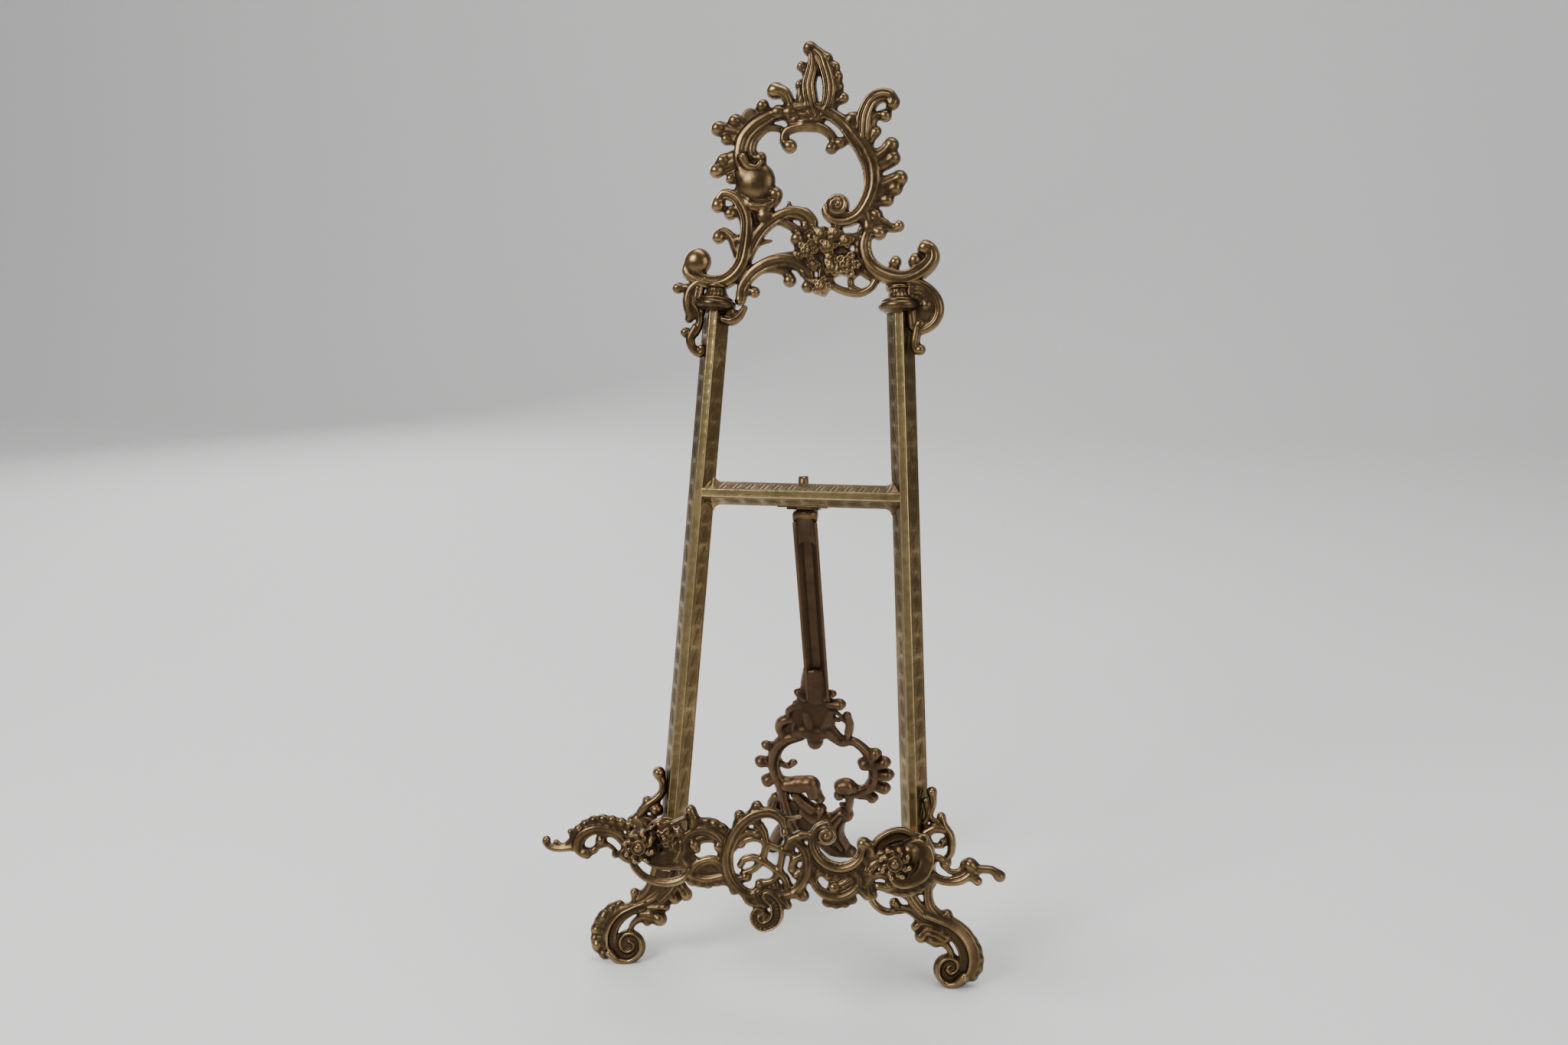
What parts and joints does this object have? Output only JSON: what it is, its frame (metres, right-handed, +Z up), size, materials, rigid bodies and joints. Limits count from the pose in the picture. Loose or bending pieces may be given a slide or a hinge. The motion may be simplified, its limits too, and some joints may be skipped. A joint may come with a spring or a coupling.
{
  "type": "photo album stand",
  "caption": "Ornate cast brass table easel with a scrollwork crest, a front rail on two shelf arms and a folding rear leg.",
  "frame": {"origin": "middle of the footprint, on the surface the stand rests on", "axes": "+Z up, the album and the front rail face -Y, +X to the right seen from the front"},
  "size_m": [0.2402, 0.2322, 0.5011],
  "materials": {
    "aged_brass": "satin, dark patina in the recesses, rubbed bright on the edges",
    "dull_brass": "dull brown rough cast back",
    "screw_brass": "satin turned"
  },
  "bodies": {
    "frame": {"left_upright": "aged_brass", "right_upright": "aged_brass", "crossbar": "aged_brass", "left_capital": "aged_brass", "right_capital": "aged_brass", "crest": "aged_brass", "crest_base": "aged_brass", "left_side_leaf": "aged_brass", "right_side_leaf": "aged_brass", "left_foot": "aged_brass", "right_foot": "aged_brass", "left_arm": "aged_brass", "right_arm": "aged_brass", "front_rail": "aged_brass", "left_rosette": "aged_brass", "right_rosette": "aged_brass", "arm_studs": "screw_brass", "arm_nuts": "screw_brass", "rosette_studs": "screw_brass", "crest_ties": "screw_brass", "hinge_bracket": "dull_brass", "hinge_screws": "screw_brass", "hinge_pin": "screw_brass"},
    "leg": {"leg_head": "dull_brass", "rear_leg": "dull_brass", "rear_foot": "dull_brass", "head_rivets": "screw_brass", "foot_rivets": "screw_brass"}
  },
  "joints": [
    {"name": "leg_fold", "type": "hinge", "parent": "frame", "child": "leg", "pos_m": [0, 0.02061, 0.25202], "axis": [-1, 0, 0], "range_deg": [0, 31]}
  ]
}
